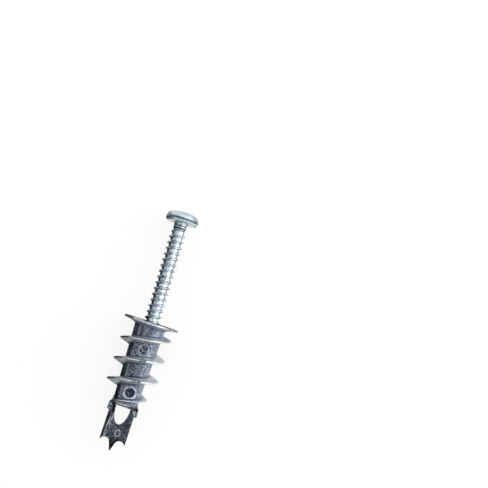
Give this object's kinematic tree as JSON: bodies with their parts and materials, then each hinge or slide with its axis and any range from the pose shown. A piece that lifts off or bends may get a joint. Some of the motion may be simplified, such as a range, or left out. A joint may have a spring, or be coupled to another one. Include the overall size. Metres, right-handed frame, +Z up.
{
  "type": "self-drilling drywall anchor with screw",
  "caption": "Threaded die-cast anchor with a toothed drill blade, a thin round flange and a pan-head screw started in its mouth, lying on its side.",
  "frame": {"origin": "on the surface that the pair lies on, below the middle of its box", "axes": "+X from the drill blade toward the screw's head, +Z up"},
  "size_m": [0.0624, 0.014, 0.014],
  "materials": {
    "cast_zinc": "die-cast zinc, fine-grained dark grey with brighter worn edges",
    "zinc_plate": "steel with bright blue-white zinc plate"
  },
  "bodies": {
    "root": {"anchor": "cast_zinc", "screw": "zinc_plate"}
  },
  "joints": []
}
